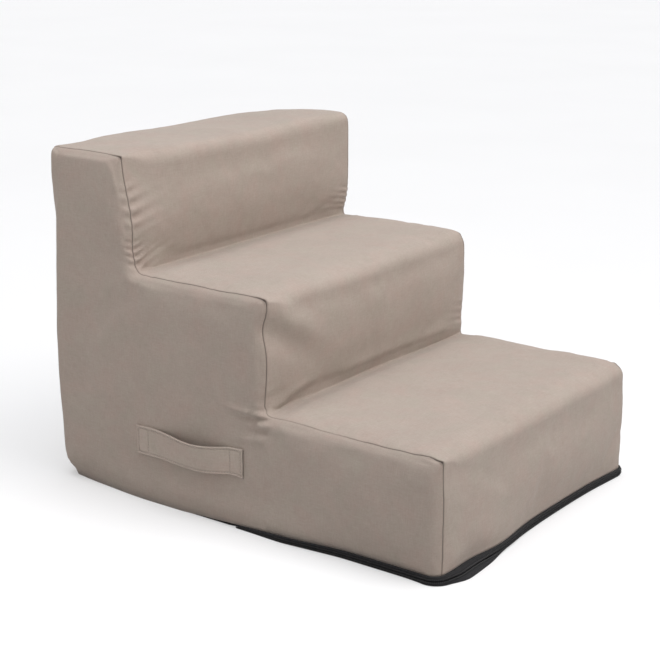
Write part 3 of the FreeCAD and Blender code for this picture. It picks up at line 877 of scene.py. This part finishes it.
def zip_stations(left_end, right_end, step):
    """(point, normal, hem height, how far the tapes' top and bottom edges stand out, run)."""
    points, angles, runs = zip_route(left_end, right_end, step)
    normals = np.column_stack([np.cos(angles), np.sin(angles)])
    arc = math.pi / 2 * SIDE_RADIUS
    to_corner = FLARE_X + HALF - SIDE_RADIUS
    on_left, on_arc = angles <= math.pi + 1e-9, angles < 1.5 * math.pi - 1e-9
    before_front = (1.5 * math.pi - angles) / (math.pi / 2) * arc
    run = np.where(on_arc, -(to_corner + before_front), points[:, 0] - FLARE_X)
    run = np.where(on_left, -(to_corner + arc) - (points[:, 1] - FRONT_Y - SIDE_RADIUS), run)
    spread = np.where(run < 0, *FLARE_SPREAD)
    flare = np.where(angles < FLARE_TO_ANGLE, FLARE * np.exp(-((run / spread) ** 2)), 0.0)
    depth = points[:, 1] - FRONT_Y
    hems = np.where(points[:, 0] < 0, hem_height(depth, -1), hem_height(depth, 1))
    face = np.column_stack([points, hems])
    flat_normals = np.column_stack([normals, np.zeros(len(normals))])
    drift = (cloth_shift(face, flat_normals) * flat_normals).sum(axis=1)
    # The lower edge wanders a little where nothing runs on it.
    loose = smooth((HALF - 30 - points[:, 0]) / 60)
    wander = 0.7 * np.sin(runs / 23) + 0.5 * np.sin(runs / 9.1 + 1.0)
    flare = flare + np.where(on_left, left_flare(depth), 0.0)
    # Towards its left end the zip draws in under the hem.
    drawn_in = DRAWN_IN * smooth((depth - LEFT_ZIP_END + DRAWN_IN_LENGTH) / DRAWN_IN_LENGTH)
    stand_off = ZIP_STAND_OFF * np.where(on_left, 1 - drawn_in, 1.0)
    flare = flare + RIGHT_FLARE * near(points[:, 0], HALF, 60) * np.clip(-normals[:, 1], 0, 1)
    low_out = stand_off + flare + np.minimum(flare * 0.08, 0.6) * wander * loose
    return points, normals, hems, stand_off + drift, np.maximum(low_out, stand_off), runs


def band_axes(hem, top_out, low_out):
    half = TAPE / 2
    bottom, top = np.array((low_out, TAPE_FOOT + half)), np.array((top_out, hem - half))
    up = (top - bottom) / np.linalg.norm(top - bottom)
    return (top + bottom) / 2, up, np.array((up[1], -up[0])), top, bottom, hem / FRONT_HEM


def tape_section(side, axes):
    """Section of the upper (1) or lower (-1) tape, as part of the same chain."""
    middle, up, out, top, bottom, scale = axes
    half = TAPE / 2
    turn = top if side > 0 else bottom
    inner_end = turn[0] - ZIP_STAND_OFF - 1.0 if side > 0 else turn[0] - BAND_INSET
    far, close = turn[1] + side * half, turn[1] - side * half

    def at_level(point, level):
        return point + up * (level - point[1]) / up[1]

    slit = middle + scale * side * COIL_LOW * up
    face = [slit + half * out, at_level(turn + half * out, far), np.array((inner_end, far))]
    rear = [np.array((inner_end, close)), at_level(turn - half * out, close), slit - half * out]
    return [*face, *rear]


def zip_tape(name, side, node):
    stations = zip_stations(LEFT_ZIP_END, RIGHT_ZIP_END, 2.0)
    points, uv = [], []
    for point, normal, hem, top_out, low_out, run in zip(*stations):
        section = tape_section(side, band_axes(hem, top_out, low_out))
        reach = 0.0
        previous = section[0]
        for out, height in section:
            reach += math.dist(previous, (out, height))
            previous = (out, height)
            points.append((*(point + normal * out), max(height, FLOOR_GAP)))
            uv.append((run, reach))
    rows = len(stations[0])
    faces = grid_faces(rows, 6, closed=True, flip=side < 0)
    ring = tuple(range(6))
    last = tuple((rows - 1) * 6 + k for k in range(6))
    faces += [ring[::-1] if side > 0 else ring, last if side > 0 else last[::-1]]
    piece = new_piece(name, points, faces, uv)
    for polygon in piece.data.polygons:
        polygon.use_smooth = False
    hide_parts(node)
    return piece


def zip_coil(name, side, node):
    """One side of the coil: a row of rounded turns, each across the coil's width."""
    stations = zip_stations(LEFT_CHAIN_END, CHAIN_END_Y - FRONT_Y, TOOTH_PITCH)
    points, normals, hems, top_out, low_out, runs = stations
    starts, ends = [], []
    for k in range(len(runs)):
        middle, up, out, _, _, scale = band_axes(hems[k], top_out[k], low_out[k])
        proud = TAPE / 2 + COIL_DEEP * scale / 2
        for row, height in ((starts, COIL_LOW + COIL_PLAY), (ends, COIL_HIGH - COIL_PLAY)):
            r, z = middle + scale * side * height * up + proud * out
            row.append((*(points[k] + normals[k] * r), z))
    radius = TOOTH_PITCH * TOOTH_SHARE
    points, faces = capsules(np.array(starts), np.array(ends), radius)
    piece = new_piece(name, points, faces)
    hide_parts(node)
    return piece


upper_tape = zip_tape("zip_tape_upper", 1, "zip_upper_tape")
lower_tape = zip_tape("zip_tape_lower", -1, "zip_lower_tape")
upper_coil = zip_coil("zip_coil_upper", 1, "zip_upper_coil")
lower_coil = zip_coil("zip_coil_lower", -1, "zip_lower_coil")


# ---- Base sheet with its grip dots ----------------------------------------------------------
DOT_PITCH, DOT_RADIUS, DOT_HEIGHT = 13.0, 2.3, 0.6
DOT_ROW_SHARE, DOT_SIDES, DOT_MARGIN = 0.866, 10, 9.0
BASE_TOP, BASE_GRID, BASE_MARGIN = 1.5, 14.0, 5.0
# Rear corners: (side, start angle, how far inside the foam's edge, radius).
BASE_CORNERS = ((1, 0.0, 1.5, 12.0), (-1, math.pi / 2, 7.5, 16.0))


def base_outline():
    points, normals, _, _, low_out, _ = zip_stations(LEFT_ZIP_END, RIGHT_ZIP_END, 4.0)
    edge = points + normals * (low_out - BAND_INSET)[:, None]
    corners = []
    for sign, begin, inset, r in BASE_CORNERS:
        for k in range(7):
            a = begin + math.pi / 2 * k / 6
            x = sign * (HALF - inset - r) + r * math.cos(a)
            corners.append((x, BACK_Y - inset - r + r * math.sin(a)))
    # On the left the sheet goes on behind the zip's end, just inside the side's low edge.
    depth = np.arange(345.0, LEFT_ZIP_END + 6, -12.0)
    left = np.column_stack([1.0 - HALF - left_flare(depth), FRONT_Y + depth])
    return np.concatenate([edge, corners, left])


def fill(outline_points, step, margin):
    """Triangles inside an outline, with a staggered grid of points added."""
    low, high = outline_points.min(axis=0), outline_points.max(axis=0)
    grid = staggered(np.arange(low[0], high[0], step), np.arange(low[1], high[1], step), step)
    grid = grid[inside(grid, outline_points, margin)]
    verts, tris, _ = triangulate(np.concatenate([outline_points, grid]), len(outline_points))
    return np.array(verts), [tuple(t) for t in tris]


def inside(points, polygon, margin):
    """Which points lie inside the polygon by more than the margin."""
    x, y = points.T
    within = np.zeros(len(points), bool)
    nearest = np.full(len(points), np.inf)
    for (x0, y0), (x1, y1) in zip(polygon, np.roll(polygon, -1, axis=0)):
        crosses = (y0 > y) != (y1 > y)
        if y1 != y0:
            within ^= crosses & (x < (x1 - x0) * (y - y0) / (y1 - y0) + x0)
        length = (x1 - x0) ** 2 + (y1 - y0) ** 2
        t = np.clip(((x - x0) * (x1 - x0) + (y - y0) * (y1 - y0)) / max(length, 1e-9), 0, 1)
        nearest = np.minimum(nearest, np.hypot(x - x0 - t * (x1 - x0), y - y0 - t * (y1 - y0)))
    return within & (nearest > margin)


edge = base_outline()
verts, tris = fill(edge, BASE_GRID, BASE_MARGIN)
points = np.column_stack([verts, np.full(len(verts), BASE_TOP)])
turned = []
for a, b, c in tris:
    faces_up = np.cross(verts[b] - verts[a], verts[c] - verts[a]) > 0
    turned.append((a, b, c) if faces_up else (a, c, b))
base_sheet = new_piece("base_sheet", points, turned, verts)
thicken(base_sheet, BASE_TOP - DOT_HEIGHT)
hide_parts("base_panel")

across = np.arange(-HALF, HALF, DOT_PITCH)
centres = staggered(across, np.arange(FRONT_Y, BACK_Y, DOT_PITCH * DOT_ROW_SHARE), DOT_PITCH)
centres = centres[inside(centres, edge, DOT_MARGIN)]
turns = 2 * math.pi * np.arange(DOT_SIDES) / DOT_SIDES
points, faces = [], []
for centre in centres:
    first = len(points)
    for radius, height in ((1.0, 0.0), (0.93, -0.35), (0.6, -DOT_HEIGHT)):
        for a in turns:
            x, y = centre + DOT_RADIUS * radius * np.array((math.cos(a), math.sin(a)))
            points.append((x, y, DOT_HEIGHT + height + 0.02))
    faces += grid_faces(3, DOT_SIDES, offset=first, closed=True, flip=True)
    faces.append(tuple(first + 2 * DOT_SIDES + k for k in reversed(range(DOT_SIDES))))
    faces.append(tuple(first + k for k in range(DOT_SIDES)))
base_dots = new_piece("base_grip_dots", points, faces)
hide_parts("base_panel")


# ---- Foam inside ----------------------------------------------------------------------------
FOAM_RADIUS, FOAM_STEP, FOAM_FOLLOWS = 12.0, 16, 0.9
FOAM_PLAY = np.array((3.0, 3.0, 1.0))


def foam_block(name, node, low, high):
    """A foam slab with rounded edges that follows most of the cover's crowns and bulges."""
    radius = FOAM_RADIUS
    lines = []
    for a, b in zip(low, high):
        steps = max(2, round((b - a - 2 * radius) / FOAM_STEP))
        rounded = (0.0, 0.3, 0.7, 1.0)
        ends = {a + radius * t for t in rounded} | {b - radius * t for t in rounded}
        between = np.linspace(a + radius, b - radius, steps)[1:-1]
        lines.append(np.array(sorted(ends | set(between))))
    index, points, faces = {}, [], []

    def at(i, j, k):
        if (i, j, k) not in index:
            index[i, j, k] = len(points)
            points.append((lines[0][i], lines[1][j], lines[2][k]))
        return index[i, j, k]

    last = [len(line) - 1 for line in lines]
    for axis in range(3):
        b, c = (axis + 1) % 3, (axis + 2) % 3
        for end in (0, last[axis]):
            for i in range(last[b]):
                for j in range(last[c]):
                    corners = []
                    for p, q in ((i, j), (i + 1, j), (i + 1, j + 1), (i, j + 1)):
                        spot = [0, 0, 0]
                        spot[axis], spot[b], spot[c] = end, p, q
                        corners.append(at(*spot))
                    faces.append(tuple(corners if end else corners[::-1]))
    points = np.array(points)
    core = np.clip(points, low + radius, high - radius)
    away = points - core
    normals = away / np.linalg.norm(away, axis=1)[:, None]
    points = core + normals * radius
    points = points + cloth_shift(points, normals) * FOAM_FOLLOWS
    points[:, 2] = np.maximum(points[:, 2], BASE_TOP + 0.2)
    piece = new_piece(name, points, faces)
    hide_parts(node)
    return piece


foam = [
    foam_block(f"foam_{name}", f"foam_{name}_slab", low + FOAM_PLAY, high - FOAM_PLAY)
    for name, (low, high) in zip(("lower", "middle", "upper"), FOAM)
]


# ---- Materials ------------------------------------------------------------------------------
class Nodes:
    """Short ways to add nodes to a tree. A value is a socket, a number or a colour."""

    def __init__(self, tree):
        self.tree = tree

    def put(self, socket, value):
        if isinstance(value, bpy.types.NodeSocket):
            self.tree.links.new(value, socket)
        elif isinstance(value, tuple) and len(value) == 3 and socket.type == "RGBA":
            socket.default_value = (*value, 1)
        else:
            socket.default_value = value

    def math(self, operation, *values):
        node = self.node("ShaderNodeMath")
        node.operation = operation
        for socket, value in zip(node.inputs, values):
            self.put(socket, value)
        return node.outputs[0]

    def total(self, *parts):
        """The sum of value x gain over the parts."""
        result = None
        for value, gain in parts:
            part = self.math("MULTIPLY", value, gain)
            result = part if result is None else self.math("ADD", result, part)
        return result

    def node(self, kind, **inputs):
        """A new node; each input is named as in Blender, with _ for a space."""
        node = self.tree.nodes.new(kind)
        for name, value in inputs.items():
            self.put(node.inputs[name.replace("_", " ")], value)
        return node

    def coordinates(self, uv_name=None, scale=(1.0, 1.0, 1.0), turn=0.0):
        if uv_name:
            source = self.node("ShaderNodeUVMap")
            source.uv_map = uv_name
            vector = source.outputs[0]
        else:
            vector = self.node("ShaderNodeTexCoord").outputs["Object"]
        return self.node(
            "ShaderNodeMapping", Vector=vector, Scale=scale, Rotation=(0, 0, turn)
        ).outputs[0]

    def noise(self, vector, size, detail=2.0, rough=0.5, distortion=0.0):
        """Noise with features about that many metres across."""
        return self.node(
            "ShaderNodeTexNoise", Vector=vector, Scale=1 / size, Detail=detail,
            Roughness=rough, Distortion=distortion,
        ).outputs[0]

    def wave(self, vector, period, direction, distortion=0.0, detail=0.0):
        """Stripes across x or y, that many metres apart."""
        scale = 2 * math.pi / (20 * period)
        node = self.node(
            "ShaderNodeTexWave", Vector=vector, Scale=scale, Distortion=distortion, Detail=detail
        )
        node.bands_direction = direction
        return node.outputs["Fac"]

    def cells(self, vector, size):
        node = self.node("ShaderNodeTexVoronoi", Vector=vector, Scale=1 / size)
        return node.outputs["Distance"]

    def ramp(self, value, *stops):
        """stops are (position, colour)."""
        node = self.node("ShaderNodeValToRGB", Fac=value)
        elements = node.color_ramp.elements
        while len(elements) < len(stops):
            elements.new(0.5)
        for element, (position, color) in zip(elements, stops):
            element.position = position
            element.color = (*color, 1)
        return node.outputs[0]

    def mix(self, share, a, b, blend="MIX"):
        node = self.node("ShaderNodeMix")
        node.data_type = "RGBA"
        node.blend_type = blend
        for place, value in ((0, share), (6, a), (7, b)):
            self.put(node.inputs[place], value)
        return node.outputs[2]

    def attribute(self, name):
        node = self.node("ShaderNodeAttribute")
        node.attribute_name = name
        return node.outputs["Fac"]

    def bump(self, height, distance, strength=1.0, under=None):
        node = self.node("ShaderNodeBump", Strength=strength, Distance=distance, Height=height)
        if under is not None:
            self.put(node.inputs["Normal"], under)
        return node.outputs[0]

    def seen_by_camera(self):
        return self.node("ShaderNodeLightPath").outputs["Is Camera Ray"]


class Material(Nodes):
    def __init__(self, name, roughness=0.9, sheen=0.0, metallic=0.0, specular=0.5):
        self.data = bpy.data.materials.new(name)
        self.data.use_nodes = True
        super().__init__(self.data.node_tree)
        self.main = self.tree.nodes["Principled BSDF"]
        for input_name, value in (
            ("Roughness", roughness),
            ("Metallic", metallic),
            ("Specular IOR Level", specular),
            ("Sheen Weight", sheen),
            ("Sheen Roughness", 0.4),
        ):
            self.main.inputs[input_name].default_value = value

    def finish(self, color=None, normal=None, roughness=None):
        for name, value in (("Base Color", color), ("Normal", normal), ("Roughness", roughness)):
            if value is not None:
                self.put(self.main.inputs[name], value)
        return self.data


# The cover's cloth. A lift above 1 paints light onto a copy: the whole cloth is made that much
# lighter.
def taupe_cloth(name, painted_lift=1.0):
    m = Material(name, roughness=0.93, sheen=0.18, specular=0.2)
    flat = m.coordinates("cloth")
    along = m.coordinates("cloth", scale=(1.0, 0.09, 1.0))
    across = m.coordinates("cloth", scale=(0.09, 1.0, 1.0))
    warp = m.wave(flat, 0.0009, "X", 0.6, 1.0)
    weft = m.wave(flat, 0.0009, "Y", 0.6, 1.0)
    weave = m.math("MULTIPLY", warp, weft)
    slub_a = m.noise(along, 0.0011, 2.0, 0.55)
    slub_b = m.noise(across, 0.0011, 2.0, 0.55)
    slubs = m.math("ADD", slub_a, slub_b)
    broad = m.noise(flat, 0.060, 3.0, 0.55, 0.4)
    patchy = m.noise(flat, 0.011, 4.0, 0.62, 0.3)
    grain = m.noise(flat, 0.0026, 3.0, 0.6)
    parts = (
        (patchy, 0.5, 0.26),
        (broad, 0.5, 0.26),
        (slubs, 1.0, 0.34),
        (grain, 0.5, 0.34),
        (weave, 0.25, 0.10),
    )
    tone = m.total(*((m.math("SUBTRACT", value, middle), gain) for value, middle, gain in parts))
    tone = m.math("ADD", tone, 0.5)
    color = m.ramp(
        tone,
        (0.05, (0.285, 0.235, 0.200)),
        (0.50, (0.366, 0.308, 0.265)),
        (0.95, (0.444, 0.381, 0.333)),
    )
    # Random tint over the cloth, times the lift, which paints light when it is above 1.
    tint = m.ramp(
        m.noise(flat, 0.035, 3.0, 0.6, 0.5),
        (0.30, (1.025 * painted_lift, 0.985 * painted_lift, 0.985 * painted_lift)),
        (0.50, (painted_lift, painted_lift, painted_lift)),
        (0.70, (0.975 * painted_lift, 1.005 * painted_lift, 0.99 * painted_lift)),
    )
    color = m.mix(1.0, color, tint, "MULTIPLY")
    # Painted shade: the cloth turns near black along the seams and at their notches.
    painted_seam_shade = m.math("MULTIPLY", m.attribute("painted_seam_shade"), 0.95)
    color = m.mix(painted_seam_shade, color, (0.06, 0.045, 0.037))
    normal = m.bump(m.total((weave, 0.5), (slubs, 0.35)), 0.00022, 0.6)
    normal = m.bump(m.math("ADD", grain, m.math("MULTIPLY", patchy, 0.3)), 0.0004, 0.3, normal)
    return m.finish(color, normal)


def black_tape():
    m = Material("black_woven_tape", roughness=0.82, sheen=0.1, specular=0.3)
    flat = m.coordinates("cloth")
    rib = m.math("MULTIPLY", m.wave(flat, 0.0008, "X", 0.3), m.wave(flat, 0.0006, "Y", 0.3))
    shade = m.total((rib, 0.6), (m.noise(flat, 0.004, 3.0), 0.5))
    color = m.ramp(shade, (0.1, (0.010, 0.010, 0.011)), (0.9, (0.026, 0.026, 0.029)))
    return m.finish(color, m.bump(rib, 0.00025, 0.8))


def mottled(name, roughness, specular, dark, light, detail, sizes, bump):
    """A plain surface: sizes are those of its mottling and of its fine bumps."""
    m = Material(name, roughness=roughness, specular=specular)
    place = m.coordinates()
    color = m.ramp(m.noise(place, sizes[0], detail), (0.3, dark), (0.7, light))
    return m.finish(color, m.bump(m.noise(place, sizes[1], detail), *bump))


def black_coil():
    dark, light = (0.012, 0.012, 0.013), (0.022, 0.022, 0.024)
    sizes, bump = (0.006, 0.0006), (0.0001, 0.4)
    return mottled("black_nylon_coil", 0.42, 0.5, dark, light, 2.0, sizes, bump)


def grip_rubber():
    dark, light = (0.013, 0.013, 0.014), (0.024, 0.024, 0.026)
    sizes, bump = (0.002, 0.0007), (0.0002, 0.5)
    return mottled("black_grip_dots", 0.6, 0.4, dark, light, 3.0, sizes, bump)


def foam_cells():
    m = Material("open_cell_foam", roughness=0.95, specular=0.2)
    place = m.coordinates()
    pores = m.cells(place, 0.0016)
    shade = m.total((pores, 0.7), (m.noise(place, 0.02, 3.0), 0.5))
    color = m.ramp(shade, (0.1, (0.62, 0.60, 0.55)), (0.8, (0.80, 0.78, 0.72)))
    return m.finish(color, m.bump(pores, 0.0006, 0.8))


def taupe_thread():
    m = Material("taupe_thread", roughness=0.7, sheen=0.2)
    place = m.coordinates()
    twist = m.wave(m.coordinates(turn=0.7), 0.00035, "X", 0.4)
    shade = m.total((twist, 0.6), (m.noise(place, 0.01), 0.4))
    color = m.ramp(shade, (0.1, (0.36, 0.31, 0.265)), (0.9, (0.56, 0.50, 0.44)))
    return m.finish(color, m.bump(twist, 0.0001, 0.7))


def black_metal():
    m = Material("black_lacquered_metal", roughness=0.34, metallic=0.75, specular=0.5)
    place = m.coordinates()
    color = m.ramp(
        m.noise(place, 0.0022, 4.0, 0.65),
        (0.35, (0.020, 0.020, 0.022)),
        (0.62, (0.034, 0.034, 0.037)),
        (0.80, (0.12, 0.12, 0.125)),
    )
    rough = m.math("ADD", m.math("MULTIPLY", m.noise(place, 0.0009, 3.0), 0.3), 0.22)
    return m.finish(color, m.bump(m.noise(place, 0.0005, 2.0), 0.00004, 0.4), rough)


def dress(material, *objects):
    for piece in objects:
        piece.data.materials.clear()
        piece.data.materials.append(material)


dress(taupe_cloth("taupe_woven_suede"), strip, left_side, right_side)
# Painted light: the strap's copy of the cloth is 12 percent lighter than the cover's.
dress(taupe_cloth("taupe_woven_suede_painted_lighter", 1.12), strap)
dress(taupe_thread(), stitches)
dress(black_tape(), upper_tape, lower_tape, base_sheet)
dress(black_coil(), upper_coil, lower_coil)
dress(grip_rubber(), base_dots)
dress(foam_cells(), *foam)
metal = black_metal()
coil_stop = black_coil()
for name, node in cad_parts.items():
    if name in ("zip_bottom_stop", "zip_top_stops"):
        dress(coil_stop, node)
    elif name in ("zip_slider_body", "zip_slider_crown", "zip_pull_tab"):
        dress(metal, node)


# ---- Camera, light and floor ----------------------------------------------------------------
CAMERA_PLACE = (-1.5385, -1.1011, 0.7314)
CAMERA_AZIMUTH, CAMERA_ELEVATION, CAMERA_ROLL = map(math.radians, (-53.683, 16.163, 0.4256))
CAMERA_LENS = 89.78


def make_camera():
    data = bpy.data.cameras.new("camera")
    data.lens = CAMERA_LENS
    data.sensor_width = 36.0
    camera = bpy.data.objects.new("camera", data)
    a, e = CAMERA_AZIMUTH, CAMERA_ELEVATION
    back = Vector((math.sin(a) * math.cos(e), -math.cos(a) * math.cos(e), math.sin(e)))
    right = Vector((0, 0, 1)).cross(back).normalized()
    turn = Matrix((right, back.cross(right), back)).transposed()
    turn = Matrix.Rotation(CAMERA_ROLL, 3, back) @ turn
    camera.matrix_world = Matrix.Translation(CAMERA_PLACE) @ turn.to_4x4()
    bpy.context.scene.collection.objects.link(camera)
    bpy.context.scene.camera = camera


# Soft boxes: (name, strength, spread, tilt from straight down to the front, turn, colour).
LIGHTS = (
    ("overhead_box", 1.95, 60, 4, 0, (0.97, 1.0, 1.05)),
    ("front_box", 0.72, 45, 54, 12, (1.0, 0.95, 0.92)),
)
# Near soft boxes: (name, energy, size, place, what it points at, colour). The front one lights the
# upper steps more than the lowest, the left one the upper rear of the side.
NEAR_LIGHTS = (
    ("near_front_box", 6.5, 0.7, (0.1, -0.6, 1.45), (0.0, 0.1, 0.25), (1.0, 0.965, 0.945)),
    ("near_left_box", 1.6, 0.5, (-0.95, 0.36, 0.85), (-0.2, 0.22, 0.22), (1.0, 0.96, 0.94)),
)
# The room's light, pale near the floor and darker above: (height of direction, colour).
ROOM = ((0.02, (0.895, 0.847, 0.825)), (0.55, (0.26, 0.255, 0.255)))
# The camera sees a plain backdrop and a glowing floor; nothing else does.
BACKDROP = (0.97, 0.97, 0.97)
FLOOR_GLOW, FLOOR_SIZE = 0.36, 12.0


def hang(name, light, color):
    light.color = color
    lamp = bpy.data.objects.new(name, light)
    bpy.context.scene.collection.objects.link(lamp)
    return lamp


def make_world():
    world = bpy.data.worlds.new("studio")
    bpy.context.scene.world = world
    world.use_nodes = True
    background = world.node_tree.nodes["Background"]
    m = Nodes(world.node_tree)
    direction = m.node("ShaderNodeTexCoord").outputs["Generated"]
    height = m.node("ShaderNodeSeparateXYZ", Vector=direction).outputs["Z"]
    room = m.ramp(height, *ROOM)
    m.put(background.inputs["Color"], m.mix(m.seen_by_camera(), room, BACKDROP))
    background.inputs["Strength"].default_value = 1.0


def make_light():
    for name, energy, spread, tilt, turn, color in LIGHTS:
        sun = bpy.data.lights.new(name, "SUN")
        sun.energy, sun.angle = energy, math.radians(spread)
        hang(name, sun, color).rotation_euler = (math.radians(tilt), 0, math.radians(turn))
    for name, energy, size, place, target, color in NEAR_LIGHTS:
        area = bpy.data.lights.new(name, "AREA")
        area.energy, area.size = energy, size
        lamp = hang(name, area, color)
        lamp.location = place
        lamp.rotation_euler = (Vector(place) - Vector(target)).to_track_quat("Z", "Y").to_euler()
    bpy.context.scene.view_settings.view_transform = "Standard"


def make_floor():
    mesh = bpy.data.meshes.new("floor")
    corners = [(u * FLOOR_SIZE, v * FLOOR_SIZE, 0) for u, v in ((-1, -1), (1, -1), (1, 1), (-1, 1))]
    mesh.from_pydata(corners, [], [(0, 1, 2, 3)])
    floor = bpy.data.objects.new("floor", mesh)
    bpy.context.scene.collection.objects.link(floor)
    m = Material("pale_floor", roughness=0.8, specular=0.2)
    place = m.coordinates()
    color = m.ramp(m.noise(place, 0.5, 3.0), (0.2, (0.54, 0.54, 0.54)), (0.8, (0.56, 0.56, 0.56)))
    m.put(m.main.inputs["Emission Color"], (1.0, 1.0, 1.0))
    glow = m.math("MULTIPLY", m.seen_by_camera(), FLOOR_GLOW)
    m.put(m.main.inputs["Emission Strength"], glow)
    mesh.materials.append(m.finish(color))


make_camera()
make_world()
make_light()
make_floor()
